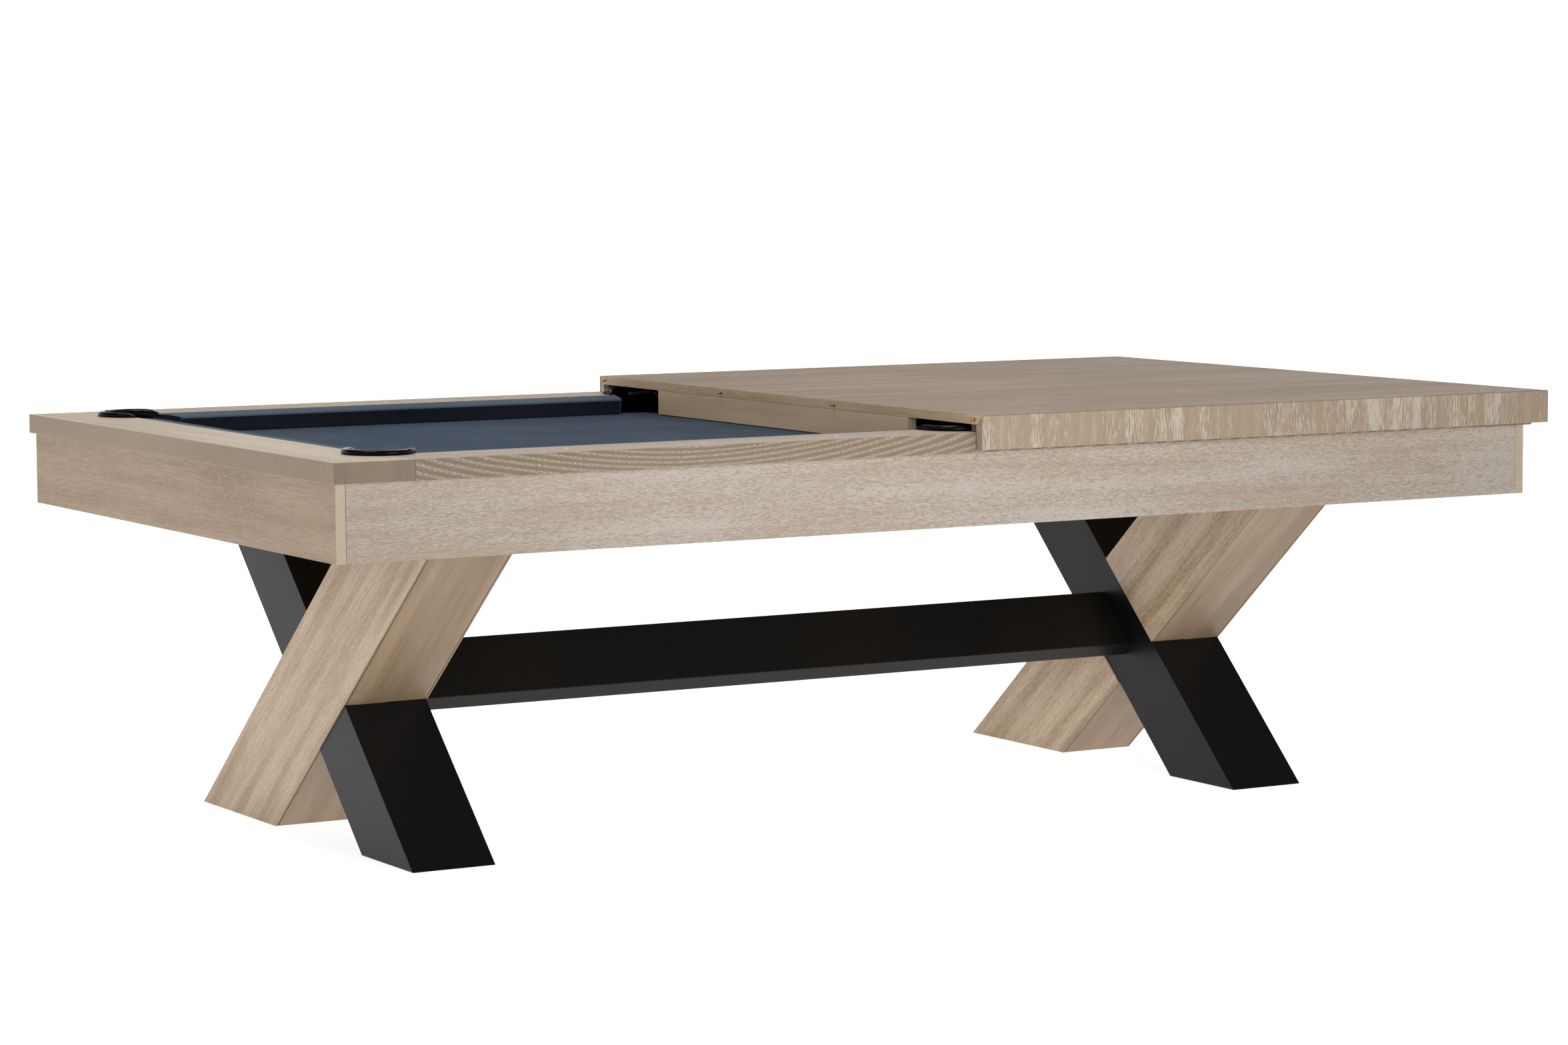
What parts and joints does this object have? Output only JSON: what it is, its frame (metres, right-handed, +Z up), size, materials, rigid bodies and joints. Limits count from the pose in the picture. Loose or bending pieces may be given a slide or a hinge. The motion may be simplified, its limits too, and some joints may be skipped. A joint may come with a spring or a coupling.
{
  "type": "pool table",
  "caption": "Slate-bed pool table on crossed legs, with moulded pockets and a dining top in lift-off panels that covers part of the bed.",
  "frame": {"origin": "on the floor, under the middle of the outline seen from above", "axes": "+X along the table towards the end covered by the dining top, +Y across it, +Z up"},
  "size_m": [2.563, 1.464, 0.793],
  "materials": {
    "limed_ash": "satin, open grain filled with white",
    "warm_ash": "satin, grain along the leg",
    "black_lacquer": "satin black",
    "slate": "ground flat",
    "blue_cloth": "short-napped wool cloth",
    "black_moulding": "gloss",
    "frame_timber": "planed, unfinished",
    "dark_pad": "matt",
    "brass": "polished"
  },
  "bodies": {
    "table": {"bed_cloth": "blue_cloth", "black_leg_left": "black_lacquer", "black_leg_right": "black_lacquer", "cross_beam_left": "frame_timber", "cross_beam_left_seam": "frame_timber", "cross_beam_right": "frame_timber", "cross_beam_right_seam": "frame_timber", "cushion_end_left": "blue_cloth", "cushion_end_right": "blue_cloth", "cushion_far_left": "blue_cloth", "cushion_far_right": "blue_cloth", "cushion_near_left": "blue_cloth", "cushion_near_right": "blue_cloth", "end_apron_left": "limed_ash", "end_apron_right": "limed_ash", "end_rail_left": "limed_ash", "end_rail_right": "limed_ash", "leg_head_plate_left": "frame_timber", "leg_head_plate_right": "frame_timber", "long_beam_far": "frame_timber", "long_beam_near": "frame_timber", "pale_leg_left": "warm_ash", "pale_leg_right": "warm_ash", "pocket_far_left": "black_moulding", "pocket_far_middle": "black_moulding", "pocket_far_right": "black_moulding", "pocket_near_left": "black_moulding", "pocket_near_middle": "black_moulding", "pocket_near_right": "black_moulding", "side_apron_far": "limed_ash", "side_apron_near": "limed_ash", "side_rail_far": "limed_ash", "side_rail_near": "limed_ash", "slate_left": "slate", "slate_middle": "slate", "slate_right": "slate", "stretcher": "black_lacquer"},
    "end_panel": {"panel_b_batten_left": "limed_ash", "panel_b_batten_right": "limed_ash", "panel_b_board": "limed_ash", "panel_b_pad_far": "dark_pad", "panel_b_pad_near": "dark_pad", "panel_b_pin_1": "brass", "panel_b_pin_2": "brass", "panel_b_pin_3": "brass", "panel_b_pin_4": "brass", "panel_b_skirt_end": "limed_ash", "panel_b_skirt_far": "limed_ash", "panel_b_skirt_near": "limed_ash"},
    "inner_panel": {"panel_a_batten_left": "limed_ash", "panel_a_batten_right": "limed_ash", "panel_a_board": "limed_ash", "panel_a_pad_far": "dark_pad", "panel_a_pad_near": "dark_pad", "panel_a_pin_1": "brass", "panel_a_pin_2": "brass", "panel_a_pin_3": "brass", "panel_a_pin_4": "brass", "panel_a_skirt_far": "limed_ash", "panel_a_skirt_near": "limed_ash"}
  },
  "joints": [
    {"name": "top_lift", "type": "slide", "parent": "table", "child": "end_panel", "axis": [0, 0, 1], "range_m": [0, 0.35]},
    {"name": "panel_slide", "type": "slide", "parent": "end_panel", "child": "inner_panel", "axis": [-1, 0, 0], "range_m": [0, 1.05]}
  ]
}
